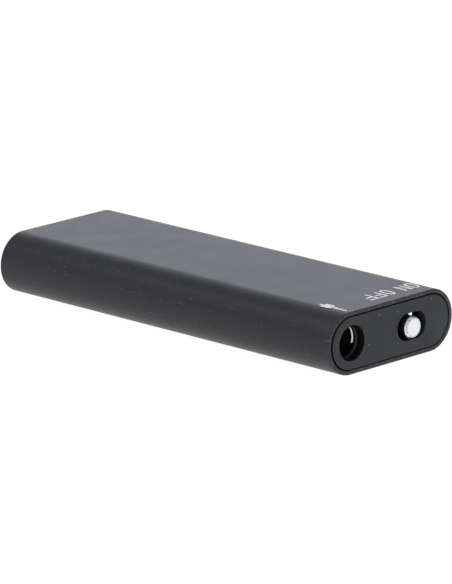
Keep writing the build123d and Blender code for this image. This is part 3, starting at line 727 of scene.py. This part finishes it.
def print_on_top(name, bm, x, distance):
    """Lays flat artwork on the top face: it reads towards -X with its top towards the front.

    The artwork's origin goes to x, at distance from the front edge.
    """
    turn = Matrix(((-1, 0, 0), (0, -1, 0), (0, 0, 1))).to_4x4()
    place = Matrix.Translation((x, FRONT_Y + distance, THICKNESS))
    bmesh.ops.transform(bm, matrix=place @ turn, verts=bm.verts)
    piece(name, bm, [INK])


def build_words():
    for name, start_x, letters in WORDS:
        bm = bmesh.new()
        for kind, left, width in letters:
            letter(bm, kind, left * MM, width * MM)
        print_on_top(name, bm, start_x * MM, LEGEND_FRONT + LETTER_HEIGHT)


def build_pictogram():
    """A plain audio plug seen from the side: neck, handle, shaft, ring and tip."""
    cable, shaft = 0.11, 0.21  # half widths, in millimetres as all of these corners

    def block(half_width, low, high):
        return [(-half_width, low), (half_width, low), (half_width, high), (-half_width, high)]

    handle = [(-0.6, -0.4), (0.6, -0.4), (0.6, 0.75), (0.3, 1.05), (-0.3, 1.05), (-0.6, 0.75)]
    tip = [(-shaft, 2.6), (shaft, 2.6), (shaft, 2.8), (0, 3.15), (-shaft, 2.8)]
    shapes = [block(cable, -0.9, -0.45), handle, block(shaft, 1.2, 1.95)]
    shapes += [block(shaft, 2.1, 2.45), tip]
    bm = bmesh.new()
    for shape in shapes:
        prism(bm, [(x * MM, y * MM) for x, y in shape])
    print_on_top("legend_plug", bm, PICTOGRAM_X, PICTOGRAM_FRONT)


build_words()
build_pictogram()

# ---------------------------------------------------------------- floor, light and camera

FLOOR_GAP = 0.03 * MM  # keeps the floor off the case's flat underside
FLOOR_HALF_SIZE = 3.0
FLOOR_COLOUR, FLOOR_CLOUDS = (0.1, 0.1, 0.1), (0.11, 0.11, 0.11)
FLOOR_GLOW, FLOOR_GLOW_STRENGTH = (0.99, 0.99, 1.01, 1), 0.97

TENT_COLOUR = (0.94, 0.965, 1.06, 1)
TENT_WALL_TOP, TENT_ROOF = 0.1, 0.8  # sines of the angles above the floor that it fades between
TENT_WALL_STRENGTH, TENT_ROOF_STRENGTH = 1.0, 0.57
GLOW_TOWARDS = Vector((0.69, 0.67, 0.3)).normalized()  # the bright wall behind the object
GLOW_START, GLOW_STRENGTH = 0.93, 0.85  # the start is the cosine of its angular radius

STRIP_AIM = Vector((-9, -33, 6)) * MM
STRIP_DISTANCE = 0.18
STRIP_PLACE = STRIP_AIM + Vector((-0.4, 0.58, 0.71)) * STRIP_DISTANCE
STRIP_SIZE = 0.08
STRIP_POWER = 0.028

CAMERA_AIM = Vector((-11.643, -11.824, 7.754)) * MM
CAMERA_AZIMUTH, CAMERA_ELEVATION, CAMERA_ROLL = -45.94, 15.13, -0.13
CAMERA_DISTANCE = 594.6 * MM
CAMERA_LENS = 336.7
CAMERA_CLIP = (0.01, 10)


def build_floor():
    """A pale floor that glows about as much as the tent, so that it shows almost no shade."""
    bm = bmesh.new()
    bmesh.ops.create_grid(bm, x_segments=1, y_segments=1, size=FLOOR_HALF_SIZE)
    mesh = bpy.data.meshes.new("floor")
    bm.to_mesh(mesh)
    bm.free()
    glow = {"Emission_Color": FLOOR_GLOW, "Emission_Strength": FLOOR_GLOW_STRENGTH}
    m = Shader("pale_floor", FLOOR_COLOUR, roughness=0.9, **glow)
    m.link(m.tint(m.noise(size=80 * MM), FLOOR_CLOUDS), "Base Color")
    mesh.materials.append(m.material)
    floor = bpy.data.objects.new("floor", mesh)
    floor.location.z = -FLOOR_GAP
    bpy.context.scene.collection.objects.link(floor)


def build_tent():
    """A white tent: even light from all round, fading overhead, with a bright wall behind."""
    world = bpy.data.worlds.new("studio")
    world.use_nodes = True
    nodes, links = world.node_tree.nodes, world.node_tree.links

    def ramp(value, *limits):
        made = nodes.new("ShaderNodeMapRange")
        made.interpolation_type = "SMOOTHSTEP"
        links.new(value, made.inputs["Value"])
        for socket, limit in zip(("From Min", "From Max", "To Min", "To Max"), limits):
            made.inputs[socket].default_value = limit
        return made.outputs["Result"]

    direction = nodes.new("ShaderNodeTexCoord").outputs["Generated"]
    split = nodes.new("ShaderNodeSeparateXYZ")
    links.new(direction, split.inputs[0])
    strengths = TENT_WALL_STRENGTH, TENT_ROOF_STRENGTH
    height_light = ramp(split.outputs["Z"], TENT_WALL_TOP, TENT_ROOF, *strengths)
    towards = nodes.new("ShaderNodeVectorMath")
    towards.operation = "DOT_PRODUCT"
    links.new(direction, towards.inputs[0])
    towards.inputs[1].default_value = GLOW_TOWARDS
    total = nodes.new("ShaderNodeMath")
    links.new(height_light, total.inputs[0])
    glow_light = ramp(towards.outputs["Value"], GLOW_START, 1.0, 0.0, GLOW_STRENGTH)
    links.new(glow_light, total.inputs[1])
    links.new(total.outputs[0], nodes["Background"].inputs["Strength"])
    nodes["Background"].inputs["Color"].default_value = TENT_COLOUR
    bpy.context.scene.world = world
    bpy.context.scene.view_settings.view_transform = "Standard"


def build_strip():
    """A small soft light over the front end, that the camera doesn't see."""
    light = bpy.data.lights.new("soft_strip", "AREA")
    light.shape = "RECTANGLE"
    light.size = light.size_y = STRIP_SIZE
    light.energy = STRIP_POWER
    strip = bpy.data.objects.new("soft_strip", light)
    bpy.context.scene.collection.objects.link(strip)
    strip.location = STRIP_PLACE
    strip.rotation_euler = (STRIP_AIM - STRIP_PLACE).to_track_quat("-Z", "Y").to_euler()
    strip.visible_camera = False


def build_camera():
    """The camera at the photograph's viewing angle, with a long lens."""
    azimuth, elevation = radians(CAMERA_AZIMUTH), radians(CAMERA_ELEVATION)
    level = cos(elevation)
    back = Vector((sin(azimuth) * level, -cos(azimuth) * level, sin(elevation)))
    data = bpy.data.cameras.new("camera")
    data.lens = CAMERA_LENS
    data.clip_start, data.clip_end = CAMERA_CLIP
    camera = bpy.data.objects.new("camera", data)
    bpy.context.scene.collection.objects.link(camera)
    camera.location = CAMERA_AIM + back * CAMERA_DISTANCE
    roll = Matrix.Rotation(radians(CAMERA_ROLL), 3, "Z")
    turn = (-back).to_track_quat("-Z", "Y").to_matrix() @ roll
    camera.rotation_euler = turn.to_euler()
    bpy.context.scene.camera = camera


build_floor()
build_tent()
build_strip()
build_camera()
